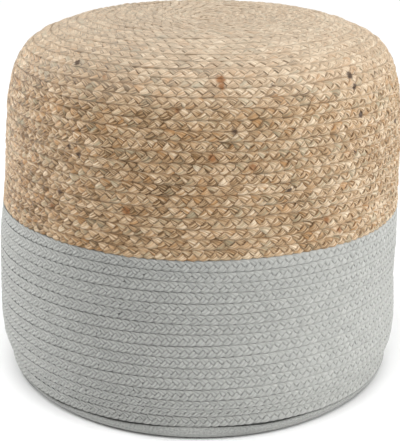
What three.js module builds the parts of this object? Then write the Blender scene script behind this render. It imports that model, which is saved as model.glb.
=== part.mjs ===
// A stuffed pouf: a long jute plait coiled from the middle of the crown, over the shoulder and down the
// upper side, then a cotton plait coiled down the lower side to a canvas base panel turned up at its rim.
// Millimetres, +Z up. The underside of the base panel lies on z = 0, and the front faces -Y.
import * as THREE from 'three';
import { mergeVertices } from 'three/addons/utils/BufferGeometryUtils.js';

// The two plaits. A turn is once round the pouf, and the turns of a plait share its stretch of the profile.
const cotton = { turns: 16, valleyDepth: 2.7 };
const jute = { turns: 36.4, valleyDepth: 2.9 };
const linesPerRow = 2; // one line in the valley between two turns and one on the crest of the plait
const columns = 56; // points round the pouf
const pieceGap = 0.3; // clear space between pieces that touch

// The pouf's side over the plaits' crests, from the top of the base panel to the middle of the crown
const profileStations = [
  { radius: 225.2, height: 16.6 },
  { radius: 225.6, height: 28.0 },
  { radius: 229.6, height: 38.4 },
  { radius: 231.9, height: 49.6 },
  { radius: 232.2, height: 66.0 },
  { radius: 230.8, height: 92.0 },
  { radius: 229.0, height: 122.0 },
  { radius: 229.3, height: 158.0 },
  { radius: 227.6, height: 199.5 },
  { radius: 225.2, height: 236.0 },
  { radius: 223.6, height: 272.0 },
  { radius: 221.0, height: 310.0 },
  { radius: 216.7, height: 337.0 },
  { radius: 209.4, height: 359.0 },
  { radius: 198.6, height: 375.4 },
  { radius: 181.8, height: 387.5 },
  { radius: 157.0, height: 397.2 },
  { radius: 131.5, height: 404.2 },
  { radius: 105.0, height: 405.5 },
  { radius: 60.0, height: 404.2 },
  { radius: 0.0, height: 402.4 },
];
const seamStation = 8; // the station where cotton gives way to jute

// Canvas base panel, a flat disc whose edge is turned up round the foot of the filled body: its underside
// and the outside of its rim, then the inside of the rim and the upper side of the disc
const rimOutside = [
  { radius: 211.0, height: 0.0 },
  { radius: 219.0, height: 0.9 },
  { radius: 224.4, height: 3.6 },
  { radius: 226.6, height: 9.0 },
  { radius: 225.2, height: 14.9 },
  { radius: 224.0, height: 16.1 },
];
const rimInside = [
  { radius: 222.2, height: 15.3 },
  { radius: 223.6, height: 9.0 },
  { radius: 221.6, height: 4.9 },
  { radius: 217.4, height: 3.1 },
  { radius: 210.0, height: 2.4 },
];
const rimLevelBelow = 4; // under this height the inside of the rim lies more level than upright
const footClearance = 1.2 * pieceGap; // between the filled body's foot and the base panel

// Where the stuffing pushes the side out or lets it sink, as seen from above: azimuth runs
// anticlockwise in degrees from +X, reach is outwards, and the last two say how far it spreads.
const unevenSides = [
  { azimuth: 180, height: 128, reach: 4.2, spreadAngle: 42, spreadHeight: 46 },
  { azimuth: 196, height: 12, reach: -3.2, spreadAngle: 46, spreadHeight: 30 },
  { azimuth: 236, height: 300, reach: 3.4, spreadAngle: 9, spreadHeight: 15 },
  { azimuth: 318, height: 262, reach: 1.6, spreadAngle: 26, spreadHeight: 34 },
  { azimuth: 20, height: 190, reach: -2.0, spreadAngle: 30, spreadHeight: 60 },
  { azimuth: 82, height: 110, reach: 2.6, spreadAngle: 34, spreadHeight: 44 },
  { azimuth: 128, height: 250, reach: -2.4, spreadAngle: 30, spreadHeight: 52 },
];
const evenCrownRadius = 150; // inside this the unevenness fades towards the middle of the crown
const lean = { perHeight: 0.02, pivotHeight: 203 }; // the crown sits to the right of the foot
const centreShift = { x: 3.4, y: -0.8 }; // brings the middle of the whole pouf over the origin

// The turns run level at the front and climb to the next one in a short stretch at the back, given as a
// share of a turn each side of it. The last turns on the crown climb evenly, from evenFrom turns before
// the middle to evenBy turns before it, and closing turns are left flat in the middle itself.
const climb = { backAzimuth: 90, halfWidth: 0.13, evenFrom: 9, evenBy: 4, closing: 1.2 };
// The rows wander up and down a little, in waves round the pouf, less so near the foot and the middle
const rowWaves = [
  { perTurn: 2, perHeight: 0.006, rise: 0.8, start: 0.4 },
  { perTurn: 5, perHeight: 0.021, rise: 0.5, start: 2.1 },
];
const waveFade = { foot: 40, crown: 160 };

const smooth = (x) => THREE.MathUtils.smoothstep(x, 0, 1);
const profile = new THREE.SplineCurve(profileStations.map((s) => new THREE.Vector2(s.radius, s.height)));
profile.arcLengthDivisions = 2000;
const wholeLength = profile.getLength();
const seamShare = seamStation / (profileStations.length - 1);
const seamLength = profile.getLengths()[Math.round(seamShare * profile.arcLengthDivisions)];
const cottonRow = seamLength / cotton.turns;
const juteRow = (wholeLength - seamLength) / jute.turns;
const ribEndLength = wholeLength - climb.closing * juteRow;

// Length along the profile reached after so many turns, counted up from the foot
const lengthAtTurn = (turn) =>
  turn < cotton.turns ? turn * cottonRow : seamLength + (turn - cotton.turns) * juteRow;

// How far a turn has climbed, from 0 to 1, at a share of the way round from the back
function climbedAt(share, turn) {
  const width = climb.halfWidth;
  const stepped = 0.5 * smooth(share / width) + 0.5 * smooth((share - 1 + width) / width);
  const fromMiddle = cotton.turns + jute.turns - turn;
  const evenly = smooth((climb.evenFrom - fromMiddle) / (climb.evenFrom - climb.evenBy));
  return stepped + (share - stepped) * evenly;
}

// How far the side stands out of round at an azimuth and a height
function unevenAt(azimuth, height) {
  const bell = (away, spread) => Math.exp(-0.5 * (away / spread) ** 2);
  return unevenSides.reduce((sum, u) => {
    const away = ((azimuth - u.azimuth + 540) % 360) - 180;
    return sum + u.reach * bell(away, u.spreadAngle) * bell(height - u.height, u.spreadHeight);
  }, 0);
}

// A point of the body at a radius, height and azimuth, set over along the leaning axis
function bodyPoint(radius, height, azimuth) {
  const angle = THREE.MathUtils.degToRad(azimuth);
  const reach = radius + unevenAt(azimuth, height) * smooth(radius / evenCrownRadius);
  const leaning = lean.perHeight * (height - lean.pivotHeight);
  return new THREE.Vector3(
    centreShift.x + leaning + reach * Math.cos(angle), centreShift.y + reach * Math.sin(angle), height);
}

// Up and down wander of the rows at a length along the profile and an azimuth
function wanderAt(length, azimuth) {
  const fade = smooth(length / waveFade.foot) * smooth((wholeLength - length) / waveFade.crown);
  const angle = THREE.MathUtils.degToRad(azimuth);
  const wave = (w) => w.rise * Math.sin(w.perTurn * angle + w.start + 2 * Math.PI * w.perHeight * length);
  return fade * rowWaves.reduce((sum, w) => sum + wave(w), 0);
}

const azimuthOf = (column) => climb.backAzimuth + (360 * column) / columns;

// A point of a plait's skin: lines are counted from the foot, and columns round from the back
function coilPoint(line, column, valleyDepth, lift) {
  const azimuth = azimuthOf(column);
  const turn = line / linesPerRow;
  const length = lengthAtTurn(turn - 0.5 + climbedAt(column / columns, turn)) + lift;
  if (length > ribEndLength) return bodyPoint(0, profile.getPointAt(1).y, azimuth);
  const share = THREE.MathUtils.clamp((length + wanderAt(length, azimuth)) / wholeLength, 0, 1);
  const at = profile.getPointAt(share);
  const along = profile.getTangentAt(share);
  const sunk = length <= 0 || line % linesPerRow === 0 ? valleyDepth : 0;
  return bodyPoint(at.x - along.y * sunk, at.y + along.x * sunk, azimuth);
}

// A closed solid from triangles of points: points that meet are merged and empty triangles dropped
function solidFrom(triangles) {
  const merged = mergeVertices(new THREE.BufferGeometry().setFromPoints(triangles.flat()), 1e-4);
  const kept = [];
  for (let i = 0; i < merged.index.count; i += 3) {
    const corners = [0, 1, 2].map((k) => merged.index.getX(i + k));
    if (new Set(corners).size === 3) kept.push(...corners);
  }
  merged.setIndex(kept);
  merged.computeVertexNormals();
  return merged;
}

// Triangles between two loops of points, the second above or outside the first
function band(lower, upper) {
  return lower.flatMap((a, j) => {
    const k = (j + 1) % lower.length;
    return [[a, lower[k], upper[k]], [a, upper[k], upper[j]]];
  });
}
const fan = (loop, middle) => loop.map((a, j) => [a, loop[(j + 1) % loop.length], middle]);
const reversed = (triangles) => triangles.map(([a, b, c]) => [a, c, b]);
const levelRing = (radius, height) =>
  Array.from({ length: columns }, (_, j) => bodyPoint(radius, height, azimuthOf(j)));

// The ribbed skin of one plait's coil, from a first line to a last line. At the back each line runs on
// into the line one row higher, and the two ends of the plait are closed there with a few triangles.
function coilSkin(firstLine, lastLine, valleyDepth, lift) {
  const rows = lastLine - firstLine;
  const grid = Array.from({ length: rows + 1 }, (_, i) =>
    Array.from({ length: columns }, (_, j) => coilPoint(firstLine + i, j, valleyDepth, lift)));
  const triangles = [];
  const quad = (a, b, c, d) => triangles.push([a, b, c], [a, c, d]);
  const end = columns - 1;
  for (let i = 0; i < rows; i += 1) {
    for (let j = 0; j < end; j += 1) quad(grid[i][j], grid[i][j + 1], grid[i + 1][j + 1], grid[i + 1][j]);
  }
  for (let i = 0; i + linesPerRow < rows; i += 1) {
    const above = i + linesPerRow;
    quad(grid[i][end], grid[above][0], grid[above + 1][0], grid[i + 1][end]);
  }
  for (let i = 0; i < linesPerRow; i += 1) {
    const near = rows - linesPerRow + i;
    triangles.push([grid[i][0], grid[i + 1][0], grid[0][end]]);
    triangles.push([grid[near][end], grid[rows][0], grid[near + 1][end]]);
  }
  return { triangles, foot: grid[0], head: grid[rows] };
}

// Inside the pouf the two filled bodies meet on a flat middle, widened to the seam line at the side
const seamLine = cotton.turns * linesPerRow;
const meeting = { radius: 190, height: profileStations[seamStation].height };
function meetingFace(edge, lift) {
  const ring = levelRing(meeting.radius, meeting.height + lift);
  return [...band(ring, edge), ...reversed(fan(ring, bodyPoint(0, meeting.height + lift, 0)))];
}

// Crown and upper side: the jute plait's coil over the filled body
function juteCover() {
  const endLine = Math.ceil((cotton.turns + jute.turns + 1) * linesPerRow);
  const lift = pieceGap / 2;
  const skin = coilSkin(seamLine, endLine, jute.valleyDepth, lift);
  return solidFrom([...skin.triangles, ...meetingFace(skin.foot, lift)]);
}

// The base panel, a closed sheet: under the disc, up round the rim and back over the disc
function basePanel() {
  const loops = [...rimOutside, ...rimInside].map((p) => levelRing(p.radius, p.height));
  const walls = loops.slice(1).flatMap((loop, i) => band(loops[i], loop));
  const under = reversed(fan(loops[0], bodyPoint(0, 0, 0)));
  const over = fan(loops[loops.length - 1], bodyPoint(0, rimInside[rimInside.length - 1].height, 0));
  return solidFrom([...walls, ...under, ...over]);
}

// Lower side: the cotton plait's coil over the filled body, whose foot sits inside the base panel. The
// foot is the inside of the rim drawn in sideways on its upright stretch and lifted on its level one.
function cottonCover() {
  const lift = pieceGap / 2;
  const skin = coilSkin(-linesPerRow, seamLine, cotton.valleyDepth, -lift);
  const neckHeight = rimOutside[rimOutside.length - 1].height + footClearance / 2;
  const neck = levelRing(rimInside[0].radius - footClearance, neckHeight);
  const foot = rimInside.map((p) =>
    levelRing(p.radius - footClearance, p.height + (p.height < rimLevelBelow ? footClearance : 0)));
  const loops = [skin.foot, neck, ...foot];
  const walls = loops.slice(1).flatMap((loop, i) => band(loop, loops[i]));
  const soleHeight = rimInside[rimInside.length - 1].height + footClearance;
  const sole = reversed(fan(loops[loops.length - 1], bodyPoint(0, soleHeight, 0)));
  return solidFrom([...skin.triangles, ...walls, ...sole, ...reversed(meetingFace(skin.head, -lift))]);
}

const finishes = {
  jute: new THREE.MeshStandardMaterial({ color: 0xc2a178, roughness: 0.85, metalness: 0 }),
  cotton: new THREE.MeshStandardMaterial({ color: 0xb4b6b0, roughness: 0.95, metalness: 0 }),
  canvas: new THREE.MeshStandardMaterial({ color: 0xb5b4b0, roughness: 0.95, metalness: 0 }),
};

function piece(name, geometry, material) {
  const mesh = new THREE.Mesh(geometry, material);
  mesh.name = name;
  return mesh;
}

const pouf = new THREE.Group();
pouf.add(
  piece('base_panel', basePanel(), finishes.canvas),
  piece('cotton_cover', cottonCover(), finishes.cotton),
  piece('jute_cover', juteCover(), finishes.jute),
);

export default pouf;
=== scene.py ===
# Stuffed pouf in a coiled jute plait over a coiled cotton plait, on a canvas base panel
import math
import bpy
import numpy as np
from mathutils import Matrix, Vector


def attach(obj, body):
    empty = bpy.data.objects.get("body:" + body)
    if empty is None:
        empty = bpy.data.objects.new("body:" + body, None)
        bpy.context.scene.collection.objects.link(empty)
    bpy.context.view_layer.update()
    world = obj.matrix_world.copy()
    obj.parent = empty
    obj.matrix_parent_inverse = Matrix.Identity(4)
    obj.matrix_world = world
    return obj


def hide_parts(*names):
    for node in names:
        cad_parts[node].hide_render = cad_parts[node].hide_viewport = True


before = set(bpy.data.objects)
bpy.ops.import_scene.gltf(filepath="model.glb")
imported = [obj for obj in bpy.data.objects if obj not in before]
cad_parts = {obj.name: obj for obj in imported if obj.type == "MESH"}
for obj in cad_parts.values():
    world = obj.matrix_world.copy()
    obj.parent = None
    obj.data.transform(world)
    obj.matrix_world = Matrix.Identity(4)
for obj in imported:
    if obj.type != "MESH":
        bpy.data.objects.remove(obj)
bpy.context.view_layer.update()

mm = 0.001                                     # every length below is in millimetres unless it says metres
print("frame loaded:", sorted(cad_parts))


# camera at the photograph's viewing angle
view = dict(
    place=(0.0020, -1.2432, 0.5843),           # metres
    pitchDown=18.705, roll=0.314,              # degrees
    lens=100.05, sensor=36.0,
)


def makeCamera():
    data = bpy.data.cameras.new("photoView")
    data.sensor_fit = "HORIZONTAL"
    data.sensor_width = view["sensor"]
    data.lens = view["lens"]
    camera = bpy.data.objects.new("photoView", data)
    tilt = Matrix.Rotation(math.radians(90 - view["pitchDown"]), 4, "X")
    roll = Matrix.Rotation(math.radians(view["roll"]), 4, "Z")
    camera.matrix_world = Matrix.Translation(view["place"]) @ tilt @ roll
    bpy.context.collection.objects.link(camera)
    bpy.context.scene.camera = camera


makeCamera()
print("camera placed")


# the pouf's side over the crests of the plaits: radius and height, from the foot to the middle of the crown
sideStations = np.array([
    (225.2, 16.6), (225.6, 28.0), (229.6, 38.4), (231.9, 49.6), (232.2, 66.0), (230.8, 92.0), (229.0, 122.0),
    (229.3, 158.0), (227.6, 199.5), (225.2, 236.0), (223.6, 272.0), (221.0, 310.0), (216.7, 337.0),
    (209.4, 359.0), (198.6, 375.4), (181.8, 387.5), (157.0, 397.2), (131.5, 404.2), (105.0, 405.5),
    (60.0, 404.2), (0.0, 402.4),
])
body = dict(
    seamStation=8,                             # where the cotton gives way to the jute
    cottonTurns=16, juteTurns=36.4,
    leanPerHeight=0.02, leanPivot=203.0,
    shift=(3.4, -0.8),                         # brings the middle of the whole pouf over the origin
    evenCrownRadius=150.0,                     # inside this the unevenness fades
    backAzimuth=90.0, climbHalfWidth=0.13,     # each turn climbs to the next at the back
    climbEvenFrom=9.0, climbEvenBy=4.0,        # turns before the middle where the climb becomes even
    waveFadeFoot=40.0, waveFadeCrown=160.0,
    baseSeam=16.0, dipFade=60.0,               # height of the seam on the base panel; dips fade above it
)
# azimuth, height, reach, spread in azimuth, spread in height of each bulge or hollow of the side
unevenSides = np.array([
    (180, 128, 4.2, 42, 46), (196, 12, -3.2, 46, 30), (236, 300, 3.4, 9, 15), (318, 262, 1.6, 26, 34),
    (20, 190, -2.0, 30, 60), (82, 110, 2.6, 34, 44), (128, 250, -2.4, 30, 52),
])
# azimuth, dip and spread of each low place of the seam on the base panel
footDips = np.array([(222, 3.6, 24), (272, 1.6, 30), (324, 3.0, 22)])
# waves for each turn, waves for each mm of length, rise and start of the rows' wander
rowWaves = ((2, 0.006, 0.8, 0.4), (5, 0.021, 0.5, 2.1))


def smooth(x):                                 # 3x^2 - 2x^3 between 0 and 1
    c = np.clip(x, 0.0, 1.0)
    return c * c * (3 - 2 * c)


def bell(away, spread):                        # e to the power of minus half the square of away over spread
    return np.exp(-0.5 * (away / spread)**2)


def runAlong(points):                          # length run along a line of points up to each of them
    return np.concatenate([[0], np.cumsum(np.linalg.norm(np.diff(points, axis=0), axis=1))])


def curveThrough(stations, perSpan):
    # cubic span between stations b and c, leaving each along half the chord of its neighbours
    p = np.vstack([stations[:1], stations, stations[-1:]])
    a, b, c, d = (q[:, None] for q in (p[:-3], p[1:-2], p[2:-1], p[3:]))
    w = np.linspace(0, 1, perSpan, endpoint=False)[None, :, None]
    leave, arrive = 0.5 * (c - a), 0.5 * (d - b)
    cubed = 2 * b - 2 * c + leave + arrive
    squared = 3 * c - 3 * b - 2 * leave - arrive
    points = cubed * w**3 + squared * w**2 + leave * w + b
    return np.vstack([points.reshape(-1, 2), stations[-1:]])


def sideCurve(perSpan=120, beyond=30.0):
    # the side's points, the length up the side and the heading there; it runs straight on past both ends
    points = curveThrough(sideStations, perSpan)
    length = runAlong(points)
    seam = length[body["seamStation"] * perSpan]
    whole = length[-1]
    points = np.vstack([points[0] - (0.0, beyond), points, points[-1] - (beyond, 0.0)])
    length = np.concatenate([[-beyond], length, [whole + beyond]])
    heading = np.gradient(points, length, axis=0)
    heading /= np.hypot(*heading.T)[:, None]
    return points, length, heading, seam, whole


sidePoints, sideLength, sideHeading, seamLength, wholeLength = sideCurve()
cottonRow = seamLength / body["cottonTurns"]
juteRow = (wholeLength - seamLength) / body["juteTurns"]


def lengthAtTurn(turn):                        # length up the side after so many turns from the foot
    lower = turn * cottonRow
    upper = seamLength + (turn - body["cottonTurns"]) * juteRow
    return np.where(turn < body["cottonTurns"], lower, upper)


def climbedAt(share, turn):
    # level but for a smooth half step each side of the back, easing into an even climb near the middle
    width = body["climbHalfWidth"]
    stepped = 0.5 * smooth(share / width) + 0.5 * smooth((share - 1 + width) / width)
    fromMiddle = body["cottonTurns"] + body["juteTurns"] - turn
    evenly = smooth((body["climbEvenFrom"] - fromMiddle) / (body["climbEvenFrom"] - body["climbEvenBy"]))
    return stepped + (share - stepped) * evenly


def unevenAt(azimuth, height):                 # sum of bell-shaped bulges over azimuth and height
    total = 0.0
    for where, level, reach, spreadAngle, spreadHeight in unevenSides:
        away = (azimuth - where + 540) % 360 - 180
        total = total + reach * bell(away, spreadAngle) * bell(height - level, spreadHeight)
    return total


def dipAt(azimuth, height):                    # sum of bells round the foot, full at the base seam
    seam = body["baseSeam"]
    near = smooth(height / seam) * (1 - smooth((height - seam) / body["dipFade"]))
    return near * sum(dip * bell(azimuth % 360 - where, spread) for where, dip, spread in footDips)


def bodyPoint(radius, height, azimuth):        # polar point set over along the leaning axis
    reach = radius + unevenAt(azimuth, height) * smooth(radius / body["evenCrownRadius"])
    height = height - dipAt(azimuth, height)
    angle = np.radians(azimuth)
    over = body["shift"][0] + body["leanPerHeight"] * (height - body["leanPivot"])
    x = over + reach * np.cos(angle)
    y = body["shift"][1] + reach * np.sin(angle)
    return np.stack(np.broadcast_arrays(x, y, height), axis=-1)


def wanderAt(length, azimuth):                 # faded sum of waves round the pouf that drift with height
    fade = smooth(length / body["waveFadeFoot"]) * smooth((wholeLength - length) / body["waveFadeCrown"])
    angle = np.radians(azimuth)
    total = 0.0
    for perTurn, perHeight, rise, start in rowWaves:
        total = total + rise * np.sin(perTurn * angle + start + 2 * math.pi * perHeight * length)
    return fade * total


def skinPoint(length, azimuth, sunk):          # point under the crest surface by a depth along its normal
    radius, height = (np.interp(length, sideLength, sidePoints[:, k]) for k in (0, 1))
    out, up = (np.interp(length, sideLength, sideHeading[:, k]) for k in (0, 1))
    return bodyPoint(radius - up * sunk, height + out * sunk, azimuth)


def wallFaces(index):                          # quads between neighbouring rings, each closed on itself
    beside = np.roll(index, -1, axis=1)
    return np.stack([index[:-1], beside[:-1], beside[1:], index[1:]], axis=-1).reshape(-1, 4)


def closedFaces(rows, columns):
    # rings closed at both ends by quads round a middle point: the first ring's middle follows the rings' own
    # points, and the last ring's comes after it
    index = np.arange(rows * columns).reshape(rows, columns)
    even = np.arange(0, columns, 2)
    after, last = (even + 1) % columns, (even + 2) % columns
    first, end = index[0], index[-1]
    middle = np.full(len(even), index.size)
    low = np.stack([first[last], first[after], first[even], middle], axis=-1)
    high = np.stack([end[even], end[after], end[last], middle + 1], axis=-1)
    return np.vstack([wallFaces(index), low, high])


def meshPiece(name, points, faces, material):
    # points in mm; faces is an array of quads
    mesh = bpy.data.meshes.new(name)
    mesh.vertices.add(len(points))
    mesh.vertices.foreach_set("co", (points * mm).astype(np.float32).ravel())
    mesh.loops.add(faces.size)
    mesh.loops.foreach_set("vertex_index", faces.astype(np.int32).ravel())
    mesh.polygons.add(len(faces))
    mesh.polygons.foreach_set("loop_start", np.arange(0, faces.size, faces.shape[1], dtype=np.int32))
    mesh.polygons.foreach_set("loop_total", np.full(len(faces), faces.shape[1], dtype=np.int32))
    mesh.polygons.foreach_set("use_smooth", np.ones(len(faces), dtype=bool))
    mesh.materials.append(material)
    mesh.update()
    mesh.validate()
    piece = bpy.data.objects.new(name, mesh)
    bpy.context.collection.objects.link(piece)
    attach(piece, "root")
    return piece


def setMap(mesh, name, perPoint, faces):       # flat map from a place for each point, metres or shares
    layer = mesh.uv_layers.new(name=name)
    layer.data.foreach_set("uv", perPoint[faces.ravel()].astype(np.float32).ravel())


# node helpers for the finishes; a range is where it starts and ends, and what it gives at each
noiseSpan = (0.3, 0.7)                         # most of a noise lies between these


def mathNode(tree, operation, first, second=0.0):
    made = tree.nodes.new("ShaderNodeMath")
    made.operation = operation
    for socket, value in enumerate((first, second)):
        if isinstance(value, (int, float)):
            made.inputs[socket].default_value = value
        else:
            tree.links.new(value, made.inputs[socket])
    return made.outputs["Value"]


def rangeNode(tree, value, low, high, toLow, toHigh):
    made = tree.nodes.new("ShaderNodeMapRange")
    for name, number in (("From Min", low), ("From Max", high), ("To Min", toLow), ("To Max", toHigh)):
        made.inputs[name].default_value = number
    tree.links.new(value, made.inputs["Value"])
    return made.outputs["Result"]


def mixColour(tree, share, first, second, kind="MIX"):
    # first and second are sockets or colours; share is a socket or a number
    made = tree.nodes.new("ShaderNodeMix")
    made.data_type = "RGBA"
    made.blend_type = kind
    made.clamp_factor = True
    for socket, value in ((0, share), (6, first), (7, second)):
        if isinstance(value, (int, float)):
            made.inputs[socket].default_value = value
        elif isinstance(value, tuple):
            made.inputs[socket].default_value = (*value, 1)
        else:
            tree.links.new(value, made.inputs[socket])
    return made.outputs[2]


def rampNode(tree, share, stops):
    made = tree.nodes.new("ShaderNodeValToRGB")
    ramp = made.color_ramp
    ramp.elements[0].position, ramp.elements[0].color = stops[0][0], (*stops[0][1], 1)
    ramp.elements[1].position, ramp.elements[1].color = stops[-1][0], (*stops[-1][1], 1)
    for place, colour in stops[1:-1]:
        ramp.elements.new(place).color = (*colour, 1)
    tree.links.new(share, made.inputs["Fac"])
    return made.outputs["Color"]


def scaledColour(tree, colour, value):         # colour times a value
    joined = tree.nodes.new("ShaderNodeCombineXYZ")
    for name in ("X", "Y", "Z"):
        tree.links.new(value, joined.inputs[name])
    return mixColour(tree, 1.0, colour, joined.outputs["Vector"], "MULTIPLY")


def attributeNode(tree, name):
    made = tree.nodes.new("ShaderNodeAttribute")
    made.attribute_name = name
    return made.outputs["Fac"]


def noiseNode(tree, place, scale, detail):
    made = tree.nodes.new("ShaderNodeTexNoise")
    made.inputs["Scale"].default_value = scale
    made.inputs["Detail"].default_value = detail
    tree.links.new(place, made.inputs["Vector"])
    return made.outputs["Fac"]


def mapNode(tree, name):
    made = tree.nodes.new("ShaderNodeUVMap")
    made.uv_map = name
    return made.outputs["UV"]


def strandPattern(tree, acrossScale, alongScale, detail, lobe, lobeShift=3.7):
    # noise stretched along the strand and different on every lobe, and the share across the strand
    parts = tree.nodes.new("ShaderNodeSeparateXYZ")
    tree.links.new(mapNode(tree, "strandMap"), parts.inputs["Vector"])
    joined = tree.nodes.new("ShaderNodeCombineXYZ")
    tree.links.new(mathNode(tree, "MULTIPLY", parts.outputs["X"], acrossScale), joined.inputs["X"])
    tree.links.new(mathNode(tree, "MULTIPLY", parts.outputs["Y"], alongScale), joined.inputs["Y"])
    tree.links.new(mathNode(tree, "MULTIPLY", lobe, lobeShift), joined.inputs["Z"])
    return noiseNode(tree, joined.outputs["Vector"], 1.0, detail), parts.outputs["X"]


def placeNoise(tree, scale, detail=2.0):       # noise over the whole pouf, waves for each metre
    place = tree.nodes.new("ShaderNodeTexCoord")
    return noiseNode(tree, place.outputs["Object"], scale, detail)


def placeNode(tree, axis):                     # metres along one axis
    place = tree.nodes.new("ShaderNodeTexCoord")
    parts = tree.nodes.new("ShaderNodeSeparateXYZ")
    tree.links.new(place.outputs["Object"], parts.inputs["Vector"])
    return parts.outputs[axis]


def newFinish(name, finish):
    material = bpy.data.materials.new(name)
    material.use_nodes = True
    shader = material.node_tree.nodes["Principled BSDF"]
    shader.inputs["Roughness"].default_value = finish["roughness"]
    shader.inputs["Specular IOR Level"].default_value = finish["specular"]
    shader.inputs["Sheen Weight"].default_value = finish["sheen"]
    return material, material.node_tree


def fillFinish(material, finish, colour, height):
    # colour and relief of a finish, the relief in metres
    tree = material.node_tree
    shader = tree.nodes["Principled BSDF"]
    tree.links.new(colour, shader.inputs["Base Color"])
    bump = tree.nodes.new("ShaderNodeBump")
    bump.inputs["Distance"].default_value = finish["relief"]
    bump.inputs["Strength"].default_value = finish["reliefShare"]
    tree.links.new(height, bump.inputs["Height"])
    tree.links.new(bump.outputs["Normal"], shader.inputs["Normal"])
    return material


# three-strand plaits, each coiled down the pouf from one end of its turns to the other
jutePlait = dict(
    name="jutePlait", node="jute_cover", slot="jute_plait",
    fromTurn=52.7, toTurn=15.9,
    pitch=11.5, pitchSwing=0.07,               # one lobe on each side of the plait for each pitch
    acrossStrand=(-1.0, -0.8, 0.0, 0.8, 1.0), yarnDip=0.0,
    across=4.3, halfWidth=5.0, foldNarrow=0.3, flatness=5.0, edge=5.65, foldDown=0.04,
    depth=1.2, halfThick=1.05, tilt=0.1, proud=0.0,
    late=0.25, lateSwing=0.25,                 # phase by which a strand rises late, more of it on the left
    lobeSteps=(0.0, 0.12, 0.25, 0.38, 0.51, 0.69),
    flatFrom=300.0, flatBy=400.0, flatShare=0.55,      # lengths up the side between which the plait flattens
    wobbleAcross=0.2, wobbleDepth=0.3, wobbleEvery=26.0,
    lobeWidth=0.08, lobeThick=0.15, lobeLift=0.18, seed=11,
)
cottonPlait = dict(
    name="cottonPlait", node="cotton_cover", slot="cotton_plait",
    fromTurn=15.92, toTurn=-0.12,
    pitch=9.0, pitchSwing=0.05,
    acrossStrand=(-1.0, -0.8, -0.333, 0.0, 0.333, 0.8, 1.0), yarnDip=0.15,
    across=4.8, halfWidth=4.6, foldNarrow=0.3, flatness=4.0, edge=5.6, foldDown=0.3,
    depth=0.75, halfThick=0.85, tilt=0.0, proud=0.2,
    late=0.35, lateSwing=0.25,
    lobeSteps=(0.02, 0.16, 0.32, 0.48, 0.66),
    flatFrom=300.0, flatBy=400.0, flatShare=0.0,
    wobbleAcross=0.05, wobbleDepth=0.12, wobbleEvery=40.0,
    lobeWidth=0.04, lobeThick=0.08, lobeLift=0.1, seed=23,
)
# what the strands of both plaits share
strand = dict(
    foldPower=4,                               # how suddenly a strand narrows where it folds
    lowThick=0.8, highThick=1.2,               # thickness beneath the others and over them
    archEdge=0.985, beneath=0.9,               # where the section's arch stops, and the point under it
    pastEdge=(1.0, 1.05, 0.0, -9.0),           # range of what is taken off beyond a strand's edge
    foldedShare=0.8,                           # of what reaches past the row's edge
    endLength=14.0, endWidth=0.35, endThick=0.5, endSink=3.5,  # a plait narrows and sinks at its ends
    pitchEvery=900.0, pitchMost=0.12, swellEvery=1.3,  # how slowly the pitch and the thickness change
)


juteFinish = dict(
    tones=((0.0, (0.15, 0.088, 0.036)), (0.25, (0.41, 0.258, 0.13)), (0.55, (0.60, 0.42, 0.25)),
           (1.0, (0.90, 0.74, 0.54))),
    fibres=(8.0, 60.0, 4.0), warmth=(3.5, 45.0, 2.0),  # waves across and along a strand, detail
    toneSwing=0.17, fibreSwing=0.5, patchSwing=0.10, patchScale=9.0,
    # painted light and shade: the jute darker towards the left and lighter towards the right
    paintedSideLight=(-0.2, 0.2, -0.2, 0.09), hueShare=0.35,
    orange=(0.52, 0.27, 0.10), orangeRange=(0.35, 1.5, 0.0, 0.8),
    greyGreen=(0.40, 0.355, 0.235), greenRange=(-0.3, -1.4, 0.0, 0.7),
    # painted light on the crown: paler towards the top, and less painted crease shade there
    paintedCrownLight=(0.88, 0.78, 0.64), crownShare=0.4, crownCrease=0.6,
    crownFrom=0.34, crownBy=0.40,              # heights in metres
    burnt=(0.33, 0.13, 0.035), burntRange=(0.3, 0.6, 0.0, 0.85),
    bark=(0.085, 0.052, 0.034), barkRange=(0.28, 0.5, 0.0, 0.95), ragged=0.25,
    # painted shade of the creases between strands, along their sides and at the row's edges: colour and
    # reach
    paintedCreviceShade=(0.095, 0.042, 0.011), reach=0.7, upperShare=0.9, lowerShare=1.0, farShare=0.6,
    rowReach=2.2, rowShare=0.45, wallFrom=0.7, wallShare=1.0, litBy=0.2, litShare=0.4,
    relief=0.0014, reliefShare=1.0, roughness=0.5, specular=0.3, sheen=0.05,
)
cottonFinish = dict(
    pale=(0.485, 0.49, 0.464), shade=(0.43, 0.435, 0.413), toneRange=(-2.0, 2.0, 0.0, 1.0),
    heather=(14.0, 160.0, 2.0), heatherSwing=(0.8, 1.16),
    yarns=2, yarnRange=(0.3, 1.0, 0.0, 0.5), litRange=(-0.1, 0.12, 1.0, 0.15), yarnRelief=-0.5,
    # painted light: the cotton brighter towards its far left and far right
    paintedLeftLight=(-0.22, -0.08, 1.14, 1.0), paintedRightLight=(-0.05, 0.22, 1.0, 1.06),
    # painted shade in the grooves between yarns and where strands cross: colour and reach
    paintedGrooveShade=(0.12, 0.122, 0.115), reach=0.7, upperShare=1.0, lowerShare=1.0, farShare=0.8,
    rowReach=0.2, rowShare=0.85, wallFrom=0.6, wallShare=1.0, litBy=0.12, litShare=0.25,
    relief=0.001, reliefShare=1.0, roughness=0.9, specular=0.2, sheen=0.3,
)
# painted shade between the strands of both: blend between the row's halves, mm from its middle,
# metres to the right
crease = dict(halfBlend=0.2, farFrom=1.0, farBy=4.0, pastRow=0.6, litFrom=-0.05)


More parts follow.
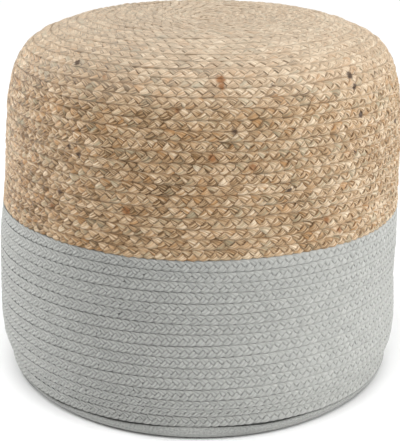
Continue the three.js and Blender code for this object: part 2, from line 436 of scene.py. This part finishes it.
def strandLevel(tree, plait, phase, place):
    # how high a strand stands at a distance from the plait's middle line: its rise, its arched section and
    # its lean, as makeStrand shapes them, and far below where the strand isn't there
    sine = mathNode(tree, "SINE", phase)
    steep = plait["across"] * 2 * math.pi / (3 * plait["pitch"])
    slope = mathNode(tree, "MULTIPLY", mathNode(tree, "COSINE", phase), steep)
    slopeSquared = mathNode(tree, "MULTIPLY", slope, slope)
    stretch = mathNode(tree, "POWER", mathNode(tree, "ADD", slopeSquared, 1.0), 0.5)
    apart = mathNode(tree, "SUBTRACT", place, mathNode(tree, "MULTIPLY", sine, plait["across"]))
    lateral = mathNode(tree, "DIVIDE", apart, stretch)
    folded = mathNode(tree, "POWER", mathNode(tree, "ABSOLUTE", sine), strand["foldPower"])
    narrowed = plait["halfWidth"] * (1 - plait["foldNarrow"])
    width = rangeNode(tree, folded, 0.0, 1.0, plait["halfWidth"], narrowed)
    share = mathNode(tree, "DIVIDE", mathNode(tree, "ABSOLUTE", lateral), width)
    hollow = mathNode(tree, "SUBTRACT", 1.0, mathNode(tree, "POWER", share, plait["flatness"]))
    arch = mathNode(tree, "POWER", mathNode(tree, "MAXIMUM", hollow, 0.0), 0.5)
    doubled = mathNode(tree, "SUBTRACT", mathNode(tree, "MULTIPLY", phase, 2.0), attributeNode(tree, "late"))
    rise = mathNode(tree, "SINE", doubled)
    thin, thick = (strand[name] * plait["halfThick"] for name in ("lowThick", "highThick"))
    arch = mathNode(tree, "MULTIPLY", rangeNode(tree, rise, -1.0, 1.0, thin, thick), arch)
    tilt = rangeNode(tree, rise, -1.0, 1.0, 0.0, plait["tilt"])
    lean = mathNode(tree, "MULTIPLY", mathNode(tree, "SIGN", sine), tilt)
    level = mathNode(tree, "ADD", mathNode(tree, "MULTIPLY", rise, plait["depth"]), arch)
    level = mathNode(tree, "SUBTRACT", level, mathNode(tree, "MULTIPLY", lean, lateral))
    return mathNode(tree, "ADD", level, rangeNode(tree, share, *strand["pastEdge"]))


def creaseShade(tree, plait, finish, across):
    # painted shade in the colour: full where the strand comes up from under the one that crosses it, and
    # none where it stands clear by the reach, with a share on each half of the row; a share along the
    # strand's own sides; less of both far from the middle; a share at the row's edges; and all of it
    # thinner towards the lit side
    phase, place = attributeNode(tree, "ownPhase"), attributeNode(tree, "fromMiddle")
    over = strandLevel(tree, plait, mathNode(tree, "SUBTRACT", phase, 2 * math.pi / 3), place)
    clear = mathNode(tree, "SUBTRACT", attributeNode(tree, "level"), over)
    shares = finish["lowerShare"], finish["upperShare"]
    half = rangeNode(tree, mathNode(tree, "SINE", phase), -crease["halfBlend"], crease["halfBlend"], *shares)
    crossed = mathNode(tree, "MULTIPLY", rangeNode(tree, clear, 0.0, finish["reach"], 1.0, 0.0), half)
    aside = mathNode(tree, "ABSOLUTE", rangeNode(tree, across, 0.0, 1.0, -1.0, 1.0))
    wall = rangeNode(tree, aside, finish["wallFrom"], 1.0, 0.0, finish["wallShare"])
    fromMiddle = mathNode(tree, "ABSOLUTE", place)
    far = rangeNode(tree, fromMiddle, crease["farFrom"], crease["farBy"], 1.0, finish["farShare"])
    crossed = mathNode(tree, "MULTIPLY", mathNode(tree, "MAXIMUM", crossed, wall), far)
    rowFrom, rowBy = plait["edge"] - finish["rowReach"], plait["edge"] + crease["pastRow"]
    row = rangeNode(tree, fromMiddle, rowFrom, rowBy, 0.0, finish["rowShare"])
    lit = rangeNode(tree, placeNode(tree, "X"), crease["litFrom"], finish["litBy"], 1.0, finish["litShare"])
    return mathNode(tree, "MULTIPLY", mathNode(tree, "MAXIMUM", crossed, row), lit)


def makeJuteFibre():
    material, tree = newFinish("juteFibre", juteFinish)
    tone, hue = attributeNode(tree, "tone"), attributeNode(tree, "hue")
    fibres, across = strandPattern(tree, *juteFinish["fibres"], tone)
    warmth, _ = strandPattern(tree, *juteFinish["warmth"], hue)
    # place on the ramp of tones: one share for the lobe, one for the fibre, one for the patch of the pouf
    toned = rangeNode(tree, tone, -1.0, 1.0, 0.5 - juteFinish["toneSwing"], 0.5 + juteFinish["toneSwing"])
    patches = placeNoise(tree, juteFinish["patchScale"])
    for value, swing in ((fibres, juteFinish["fibreSwing"]), (patches, juteFinish["patchSwing"])):
        toned = mathNode(tree, "ADD", toned, rangeNode(tree, value, *noiseSpan, -swing, swing))
    # painted shade on the left of the pouf and painted light on its right
    aside = rangeNode(tree, placeNode(tree, "X"), *juteFinish["paintedSideLight"])
    colour = rampNode(tree, mathNode(tree, "ADD", toned, aside), juteFinish["tones"])
    hueStep = mathNode(tree, "MULTIPLY", hue, juteFinish["hueShare"])
    warmer = mathNode(tree, "ADD", rangeNode(tree, warmth, *noiseSpan, -1.0, 1.0), hueStep)
    for tint, span in (("orange", "orangeRange"), ("greyGreen", "greenRange")):
        colour = mixColour(tree, rangeNode(tree, warmer, *juteFinish[span]), colour, juteFinish[tint])
    # painted light: the crown paler towards the top
    height, crown = placeNode(tree, "Z"), (juteFinish["crownFrom"], juteFinish["crownBy"])
    colour = mixColour(tree, rangeNode(tree, height, *crown, 0.0, juteFinish["crownShare"]), colour,
                       juteFinish["paintedCrownLight"])
    # a speck keeps a ragged edge along the fibres
    speck = attributeNode(tree, "speck")
    ragged = rangeNode(tree, fibres, *noiseSpan, -juteFinish["ragged"], juteFinish["ragged"])
    burnt = rangeNode(tree, mathNode(tree, "SUBTRACT", ragged, speck), *juteFinish["burntRange"])
    colour = mixColour(tree, burnt, colour, juteFinish["burnt"])
    bark = rangeNode(tree, mathNode(tree, "ADD", ragged, speck), *juteFinish["barkRange"])
    colour = mixColour(tree, bark, colour, juteFinish["bark"])
    # painted shade in the creases between strands, less of it on the crown
    flatter = rangeNode(tree, height, *crown, 1.0, juteFinish["crownCrease"])
    shade = mathNode(tree, "MULTIPLY", creaseShade(tree, jutePlait, juteFinish, across), flatter)
    colour = mixColour(tree, shade, colour, juteFinish["paintedCreviceShade"])
    return fillFinish(material, juteFinish, colour, fibres)


def makeCottonYarn():
    material, tree = newFinish("cottonYarn", cottonFinish)
    tone, place = attributeNode(tree, "tone"), placeNode(tree, "X")
    stops = (0.0, cottonFinish["shade"]), (1.0, cottonFinish["pale"])
    colour = rampNode(tree, rangeNode(tree, tone, *cottonFinish["toneRange"]), stops)
    heather, across = strandPattern(tree, *cottonFinish["heather"], tone)
    # painted shade in the grooves between yarns: how near the place across the strand is to a yarn's
    # edge, fainter on the lit side
    turned = mathNode(tree, "MULTIPLY", across, 2 * math.pi * cottonFinish["yarns"])
    wave = mathNode(tree, "COSINE", turned)
    lit = rangeNode(tree, place, *cottonFinish["litRange"])
    paintedGrooveShade = mathNode(tree, "MULTIPLY", rangeNode(tree, wave, *cottonFinish["yarnRange"]), lit)
    colour = mixColour(tree, paintedGrooveShade, colour, cottonFinish["paintedGrooveShade"])
    colour = scaledColour(tree, colour, rangeNode(tree, heather, *noiseSpan, *cottonFinish["heatherSwing"]))
    # painted light at the left and right sides of the pouf
    left, right = (rangeNode(tree, place, *cottonFinish[name]) for name in ("paintedLeftLight", "paintedRightLight"))
    colour = scaledColour(tree, colour, mathNode(tree, "MULTIPLY", left, right))
    # painted shade where strands cross, along their sides and at the row's edges
    shade = creaseShade(tree, cottonPlait, cottonFinish, across)
    colour = mixColour(tree, shade, colour, cottonFinish["paintedGrooveShade"])
    relief = mathNode(tree, "ADD", mathNode(tree, "MULTIPLY", wave, cottonFinish["yarnRelief"]), heather)
    return fillFinish(material, cottonFinish, colour, mathNode(tree, "MULTIPLY", relief, lit))


juteFibre = makeJuteFibre()
cottonYarn = makeCottonYarn()
print("fibre finishes made")


def rowCentre(turn):
    # turns counted from the foot: how far up the side the row's middle lies there, and the azimuth
    whole = np.floor(turn)
    share = turn - whole
    azimuth = body["backAzimuth"] + 360 * share
    length = lengthAtTurn(whole + climbedAt(share, whole + 0.5))
    return length + wanderAt(length, azimuth), azimuth


def coilRun(plait, perTurn=720):
    # length run along the plait's middle line, from its upper end down, against turns
    first, last = plait["fromTurn"], plait["toTurn"]
    turn = np.linspace(first, last, int(perTurn * (first - last)))
    length, azimuth = rowCentre(turn)
    return turn, runAlong(skinPoint(length, azimuth, 0.0))


def unevenRun(run, every, size, rng):          # random heights every so many mm, joined smoothly
    heights = rng.normal(0, size, int(run[-1] / every) + 3)
    at = run / every
    low = np.floor(at).astype(int)
    part = smooth(at - low)
    return heights[low] * (1 - part) + heights[low + 1] * part


def lobeRings(plait, start, lastPhase):
    # phases of a strand's rings, the same few steps on each lobe, and the number of the lobe that each is on
    lobes = int(lastPhase / math.pi)
    steps = np.array(plait["lobeSteps"])
    at = start + (np.arange(lobes)[:, None] + steps).ravel() * math.pi
    at = at[at < lastPhase]
    return at, np.repeat(np.arange(lobes), len(steps))[:len(at)], lobes


def strandAt(plait, phase, late):
    # at a phase of the strand's own: its swing across the plait with its slope, its rise, and its half width
    side = plait["across"] * np.sin(phase)
    slope = plait["across"] * np.cos(phase) * 2 * math.pi / (3 * plait["pitch"])
    rise = np.sin(2 * phase - late)            # over the others on its way out to an edge, back beneath them
    halfWidth = plait["halfWidth"] * (1 - plait["foldNarrow"] * np.sin(phase)**strand["foldPower"])
    return side, slope, rise, halfWidth


def strandSection(plait):
    # across in half widths and outward in half thicknesses: a flattened arch that dips between yarns, and
    # one point beneath
    across = np.array(plait["acrossStrand"])
    yarns = (len(across) - 1) / 2
    arch = np.sqrt(1 - np.abs(across * strand["archEdge"])**plait["flatness"])
    arch -= plait["yarnDip"] * (0.5 + 0.5 * np.cos(math.pi * yarns * (across + 1)))
    return np.append(across, 0.0), np.append(arch, -strand["beneath"])


def tapered(share, ends):                      # the share at a plait's very end, 1 away from it
    return share + (1 - share) * ends


def makeStrand(plait, number, coil, rng, material):
    turns, run, phase, sway, swell = coil
    behind = number * 2 * math.pi / 3
    # a strand's lobes lie half a round apart, on either side in turn
    at, lobe, lobes = lobeRings(plait, behind % math.pi, phase[-1])
    here = np.interp(at, phase, run)
    width, thick, lift, tone, hue = (
        rng.normal(0, size, lobes + 2)[lobe]
        for size in (plait["lobeWidth"], plait["lobeThick"], plait["lobeLift"], 1.0, 1.0)
    )
    ends = smooth(np.minimum(here, run[-1] - here) / strand["endLength"])
    rowLength, bearing = rowCentre(np.interp(here, run, turns))
    # the strands rise later on the left, where the plait is looser, and lie flatter on the crown
    late = plait["late"] - plait["lateSwing"] * np.cos(np.radians(bearing))
    flattening = smooth((rowLength - plait["flatFrom"]) / (plait["flatBy"] - plait["flatFrom"]))
    pressed = 1 - plait["flatShare"] * flattening
    side, slope, rise, halfWidth = strandAt(plait, at - behind, late)
    crest = 0.5 + 0.5 * rise
    halfWidth = halfWidth * (1 + width) * tapered(strand["endWidth"], ends)
    thickShare = strand["lowThick"] + (strand["highThick"] - strand["lowThick"]) * crest
    halfThick = plait["halfThick"] * (1 + thick) * thickShare * tapered(strand["endThick"], ends)
    alongStep, acrossStep = 1 / np.hypot(1, slope), slope / np.hypot(1, slope)
    sectionAcross, sectionOut = strandSection(plait)
    lateral = sectionAcross * halfWidth[:, None]
    outward = sectionOut * halfThick[:, None]
    # each lobe leans, with the edge by the plait's middle raised over the lobe behind it
    lean = -plait["tilt"] * np.sign(side)[:, None] * lateral * crest[:, None]
    alongRun = here[:, None] - lateral * acrossStep[:, None]
    fromMiddle = side[:, None] + lateral * alongStep[:, None]
    ownPhase = np.interp(alongRun, run, phase) - behind
    standing = (plait["depth"] * rise)[:, None] + outward + lean
    # what reaches past the row's edge folds down instead
    over = np.maximum(np.abs(fromMiddle) - plait["edge"], 0)
    acrossRow = fromMiddle - strand["foldedShare"] * over * np.sign(fromMiddle)
    acrossRow = acrossRow + np.interp(here, run, sway)[:, None]
    raised = plait["depth"] * rise * pressed + lift * ends * pressed
    level = raised[:, None] + outward + lean * pressed[:, None]
    top = plait["depth"] * pressed + strand["highThick"] * plait["halfThick"] - plait["proud"]
    lowered = top + strand["endSink"] * (1 - ends) - np.interp(here, run, swell)
    sunk = lowered[:, None] - level + plait["foldDown"] * over
    length, azimuth = rowCentre(np.interp(alongRun, run, turns))
    spread = 1 + wanderAt(length + 0.5, azimuth) - wanderAt(length - 0.5, azimuth)
    points = skinPoint(length + acrossRow * spread * ends[:, None], azimuth, sunk)
    rings, around = points.shape[:2]
    index = np.arange(rings * around).reshape(rings, around)
    pair = np.arange(around // 2 - 1)          # each end is closed with a strip of quads
    cap = np.stack([pair, pair + 1, around - 2 - pair, around - 1 - pair], axis=-1)
    faces = np.vstack([wallFaces(index), index[0][cap[:, ::-1]], index[-1][cap]])
    piece = meshPiece(f"{plait['name']}Strand{number + 1}", points.reshape(-1, 3), faces, material)
    places = dict(ownPhase=ownPhase, fromMiddle=fromMiddle, level=standing, speck=speckAt(points))
    setStrandMaps(piece, faces, sectionAcross, here, places, dict(tone=tone, hue=hue, late=late))
    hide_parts(plait["node"])
    return len(faces)


def setStrandMaps(piece, faces, sectionAcross, here, places, lobes):
    # places hold a value for each point, lobes one for each ring
    around = len(sectionAcross)
    values = {name: value.ravel() for name, value in places.items()}
    values.update({name: np.repeat(value, around) for name, value in lobes.items()})
    for name, value in values.items():
        layer = piece.data.attributes.new(name, "FLOAT", "POINT")
        layer.data.foreach_set("value", value.astype(np.float32))
    # strand map: across the strand from edge to edge, and along it in metres
    share = np.tile((sectionAcross + 1) / 2, len(here))
    setMap(piece.data, "strandMap", np.stack([share, np.repeat(here * mm, around)], axis=-1), faces)


# specks in the jute: azimuth, length up the side, size, and strength, over 0 for dark bark and under 0 for a
# burnt orange one
juteSpecks = np.array([
    (229.1, 369.8, 2.6, 1.0), (314.6, 354.6, 2.8, 0.9), (315.2, 343.0, 2.4, 1.0),
    (315.9, 313.8, 2.8, 0.9), (337.6, 291.3, 2.4, 0.9), (292.1, 250.8, 2.0, 0.8),
    (233.5, 286.3, 2.2, 0.9), (236.9, 279.5, 2.2, 0.9), (230.2, 236.3, 2.4, 0.8),
    (277.4, 311.2, 2.6, 0.75), (293.1, 310.3, 2.3, 0.65), (288.2, 354.1, 2.3, 0.55),
    (231.6, 347.7, 2.0, 0.5), (327.6, 349.2, 2.2, 0.7), (328.0, 311.7, 2.0, 0.5),
    (312.9, 277.3, 2.0, 0.5), (328.6, 266.9, 2.0, 0.5), (329.5, 251.0, 2.0, 0.5),
    (288.9, 429.7, 2.2, 0.6), (322.8, 401.3, 2.2, 0.5), (297.5, 387.8, 2.2, 0.45),
    (261.4, 244.1, 2.4, 0.5), (285.0, 242.3, 2.2, 0.5), (70.0, 330.0, 2.4, 0.8), (124.0, 290.0, 2.2, 0.7),
    (20.0, 262.0, 2.4, 0.6), (148.0, 378.0, 2.4, 0.7), (95.0, 226.0, 2.2, 0.6), (274.1, 362.2, 3.2, -1.0),
    (274.4, 353.9, 2.6, -0.9), (272.0, 286.3, 3.2, -0.9), (282.2, 276.6, 3.4, -0.8),
    (262.9, 331.4, 2.8, -0.7), (227.4, 219.3, 2.8, -0.8), (250.6, 229.5, 3.6, -0.9),
    (241.0, 358.2, 3.0, -0.6), (189.2, 201.7, 3.0, -0.8), (303.5, 213.6, 3.0, -0.8),
    (308.1, 199.3, 3.0, -0.8), (40.0, 300.0, 3.0, -0.8), (110.0, 350.0, 3.0, -0.8),
    (160.0, 240.0, 3.0, -0.7), (60.0, 215.0, 3.0, -0.8),
])
speckDepth = 1.0


def speckAt(points):                           # strongest of the bell-shaped specks, with its sign
    strongest = np.zeros(points.shape[:-1])
    for azimuth, length, size, strength in juteSpecks:
        place = skinPoint(length, azimuth, speckDepth)
        here = strength * bell(np.linalg.norm(points - place, axis=-1), size)
        strongest = np.where(np.abs(here) > np.abs(strongest), here, strongest)
    return strongest


def makePlait(plait, material):
    # the phase grows with the length run, at a pitch that changes slowly, and the three strands share it
    rng = np.random.default_rng(plait["seed"])
    turns, run = coilRun(plait)
    swing = unevenRun(run, strand["pitchEvery"], plait["pitchSwing"], rng)
    pitch = plait["pitch"] * (1 + np.clip(swing, -strand["pitchMost"], strand["pitchMost"]))
    beat = 2 * math.pi / (3 * pitch)
    phase = np.concatenate([[0], np.cumsum(beat[1:] * np.diff(run))])
    sway = unevenRun(run, plait["wobbleEvery"], plait["wobbleAcross"], rng)
    swell = unevenRun(run, plait["wobbleEvery"] * strand["swellEvery"], plait["wobbleDepth"], rng)
    coil = (turns, run, phase, sway, swell)
    faces = sum(makeStrand(plait, number, coil, rng, material) for number in range(3))
    print(plait["name"], "metres of plait:", round(run[-1] * mm, 2), "quads:", faces)


makePlait(jutePlait, juteFibre)
makePlait(cottonPlait, cottonYarn)


# the filled body behind the plaits, in two parts that meet at the seam; it stands for the hidden fibre,
# painted darker than the strands in front as shade in the gaps between rows, the cotton's much darker
filling = dict(
    sunk=2.8, columns=120, rowStep=8.0,
    seamGap=0.2, belowFoot=8.0, beforeMiddle=6.0,
    juteShadeColour=(0.33, 0.225, 0.13), cottonShadeColour=(0.10, 0.102, 0.095), paler=1.5,
    fibreScale=420.0, fibreDetail=3.0,
    relief=0.001, reliefShare=0.6, roughness=0.95, specular=0.1, sheen=0.0,
)


def makeBacking(name, colour):
    material, tree = newFinish(name, filling)
    fibres = placeNoise(tree, filling["fibreScale"], filling["fibreDetail"])
    pale = tuple(filling["paler"] * part for part in colour)
    mixed = mixColour(tree, rangeNode(tree, fibres, *noiseSpan, 0.0, 1.0), colour, pale)
    return fillFinish(material, filling, mixed, fibres)


def makeFilledBody(name, nodeName, fromLength, toLength, material):
    # rings up the side, closed at each end by quads round a middle point
    rows = int((toLength - fromLength) / filling["rowStep"])
    length = np.linspace(fromLength, toLength, rows)[:, None]
    azimuth = np.linspace(0, 360, filling["columns"], endpoint=False)[None, :]
    rings = skinPoint(length, azimuth, filling["sunk"])
    points = np.vstack([rings.reshape(-1, 3), rings[0].mean(axis=0), rings[-1].mean(axis=0)])
    piece = meshPiece(name, points, closedFaces(rows, filling["columns"]), material)
    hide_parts(nodeName)


makeFilledBody("juteBody", "jute_cover",
               seamLength + filling["seamGap"], wholeLength - filling["beforeMiddle"],
               makeBacking("juteShade", filling["juteShadeColour"]))
makeFilledBody("cottonBody", "cotton_cover",
               -filling["belowFoot"], seamLength - filling["seamGap"],
               makeBacking("cottonShade", filling["cottonShadeColour"]))
print("filled bodies made")


# canvas base panel, a sheet turned up round the foot: radius and height, outside then inside
canvasBase = dict(
    outside=((212.0, 0.0), (221.0, 0.7), (226.2, 3.4), (228.2, 8.6), (226.8, 14.0), (224.2, 16.2)),
    inside=((222.2, 15.2), (224.6, 8.6), (222.6, 4.7), (218.0, 3.0), (211.0, 2.3)),
    columns=288, perSpan=3, flatRings=(75.0, 150.0),
    puckers=((61, 1.0, 0.0), (97, 0.7, 1.3), (23, 0.8, 0.6)),  # waves round the rim, size, start
    puckerOut=0.14, puckerUp=0.2, drawnFrom=7.0, drawnBy=15.0,  # they grow between these heights
    slits=((226, 2.6, 7), (250, 2.2, 7), (290, 2.6, 8)),  # azimuth, opening, spread: where the seam gapes
    tucks=((212, 7.5, 24), (326, 6.5, 24)),    # azimuth, depth, spread: where the foot is drawn under
    tuckFrom=150.0, tuckBy=210.0, tuckEase=0.6,
    colour=(0.43, 0.435, 0.415), thread=(0.29, 0.295, 0.28),
    weaveScale=430.0, weaveDetail=2.0, weaveRange=(0.35, 0.65, 0.0, 1.0),
    wearScale=14.0, wearRange=(0.35, 0.65, 0.92, 1.06),
    relief=0.001, reliefShare=0.8, roughness=0.92, specular=0.2, sheen=0.2,
)


def makeCanvas():
    material, tree = newFinish("greyCanvas", canvasBase)
    weave = noiseNode(tree, mapNode(tree, "clothMap"), canvasBase["weaveScale"], canvasBase["weaveDetail"])
    shown = rangeNode(tree, weave, *canvasBase["weaveRange"])
    colour = mixColour(tree, shown, canvasBase["thread"], canvasBase["colour"])
    wear = rangeNode(tree, placeNoise(tree, canvasBase["wearScale"]), *canvasBase["wearRange"])
    return fillFinish(material, canvasBase, scaledColour(tree, colour, wear), weave)


def makeBase():
    # rings from near the middle of the underside, round the rim and back over the inside
    innerHeight = canvasBase["inside"][-1][1]
    under = [(radius, 0.0) for radius in canvasBase["flatRings"]]
    over = [(radius, innerHeight) for radius in canvasBase["flatRings"][::-1]]
    outside, inside = (
        curveThrough(np.array(canvasBase[name]), canvasBase["perSpan"]) for name in ("outside", "inside")
    )
    loop = np.vstack([under, outside, inside, over])
    radius, height = loop[:, :1], loop[:, 1:]
    azimuth = np.linspace(0, 360, canvasBase["columns"], endpoint=False)[None, :]
    angle = np.radians(azimuth)
    # puckers are waves round the rim that grow towards the seam
    drawn = smooth((height - canvasBase["drawnFrom"]) / (canvasBase["drawnBy"] - canvasBase["drawnFrom"]))
    puckers = (size * np.sin(waves * angle + start) for waves, size, start in canvasBase["puckers"])
    ripple = drawn * sum(puckers)
    gape, tuck = (
        sum(size * bell(azimuth - where, spread) for where, size, spread in canvasBase[name])
        for name in ("slits", "tucks")
    )
    drawnUnder = smooth((radius - canvasBase["tuckFrom"]) / (canvasBase["tuckBy"] - canvasBase["tuckFrom"]))
    tuck = tuck * drawnUnder * (1 - canvasBase["tuckEase"] * drawn)
    radius = radius - tuck + canvasBase["puckerOut"] * ripple
    height = height + canvasBase["puckerUp"] * ripple - gape * drawn
    middles = bodyPoint(0.0, np.array([0.0, innerHeight]), 0.0)
    points = np.vstack([bodyPoint(radius, height, azimuth).reshape(-1, 3), middles])
    faces = closedFaces(len(loop), canvasBase["columns"])
    piece = meshPiece("canvasBase", points, faces, makeCanvas())
    # cloth map: the panel laid flat, in metres from its middle
    away = (runAlong(loop) + canvasBase["flatRings"][0])[:, None, None]
    laid = away * np.stack([np.cos(angle), np.sin(angle)], axis=-1)
    setMap(piece.data, "clothMap", np.vstack([laid.reshape(-1, 2), np.zeros((2, 2))]) * mm, faces)
    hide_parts("base_panel")


makeBase()
print("canvas base made")


# floor, light and backdrop
studio = dict(
    # place in metres, size in metres and watts of each softbox, and where they point
    lamps=dict(
        sideLamp=((1.8, -0.2, 0.3), 2.0, 24.0),
        leftLamp=((-1.6, 0.5, 0.5), 0.5, 13.0),
    ),
    aim=(0.0, 0.0, 0.2),
    # direction, softness in degrees and strength of the far light
    far=dict(overheadLight=((0.0, -0.28, 1.0), 55.0, 2.6)),
    skyLight=0.3, skySeen=1.0,
    floorColour=(0.95, 0.95, 0.95, 1), floorRoughness=0.9, floorSize=12.0,
)


def makeLight(name, kind, place, heading):
    data = bpy.data.lights.new(name, kind)
    light = bpy.data.objects.new(name, data)
    light.location = place
    light.rotation_euler = heading.to_track_quat("-Z", "Y").to_euler()
    bpy.context.collection.objects.link(light)
    return data


def makeSky():
    # white to the camera, fainter as a light
    world = bpy.data.worlds.new("studioSky")
    world.use_nodes = True
    tree = world.node_tree
    background = tree.nodes["Background"]
    background.inputs["Color"].default_value = (1, 1, 1, 1)
    seen = tree.nodes.new("ShaderNodeLightPath").outputs["Is Camera Ray"]
    strength = rangeNode(tree, seen, 0.0, 1.0, studio["skyLight"], studio["skySeen"])
    tree.links.new(strength, background.inputs["Strength"])
    bpy.context.scene.world = world


def makeFloor():
    half = studio["floorSize"] / 2
    corners = [(-half, -half, 0), (half, -half, 0), (half, half, 0), (-half, half, 0)]
    mesh = bpy.data.meshes.new("studioFloor")
    mesh.from_pydata(corners, [], [(0, 1, 2, 3)])
    floor = bpy.data.objects.new("studioFloor", mesh)
    bpy.context.collection.objects.link(floor)
    paint = bpy.data.materials.new("paleFloor")
    paint.use_nodes = True
    shader = paint.node_tree.nodes["Principled BSDF"]
    shader.inputs["Base Color"].default_value = studio["floorColour"]
    shader.inputs["Roughness"].default_value = studio["floorRoughness"]
    mesh.materials.append(paint)


def makeStudio():
    for name, (place, size, power) in studio["lamps"].items():
        lamp = makeLight(name, "AREA", place, Vector(studio["aim"]) - Vector(place))
        lamp.size = size
        lamp.energy = power
    for name, (direction, soft, strength) in studio["far"].items():
        sun = makeLight(name, "SUN", (0, 0, 0), -Vector(direction))
        sun.angle = math.radians(soft)
        sun.energy = strength
    makeSky()
    makeFloor()
    bpy.context.scene.view_settings.view_transform = "Standard"


makeStudio()
print("studio lit")
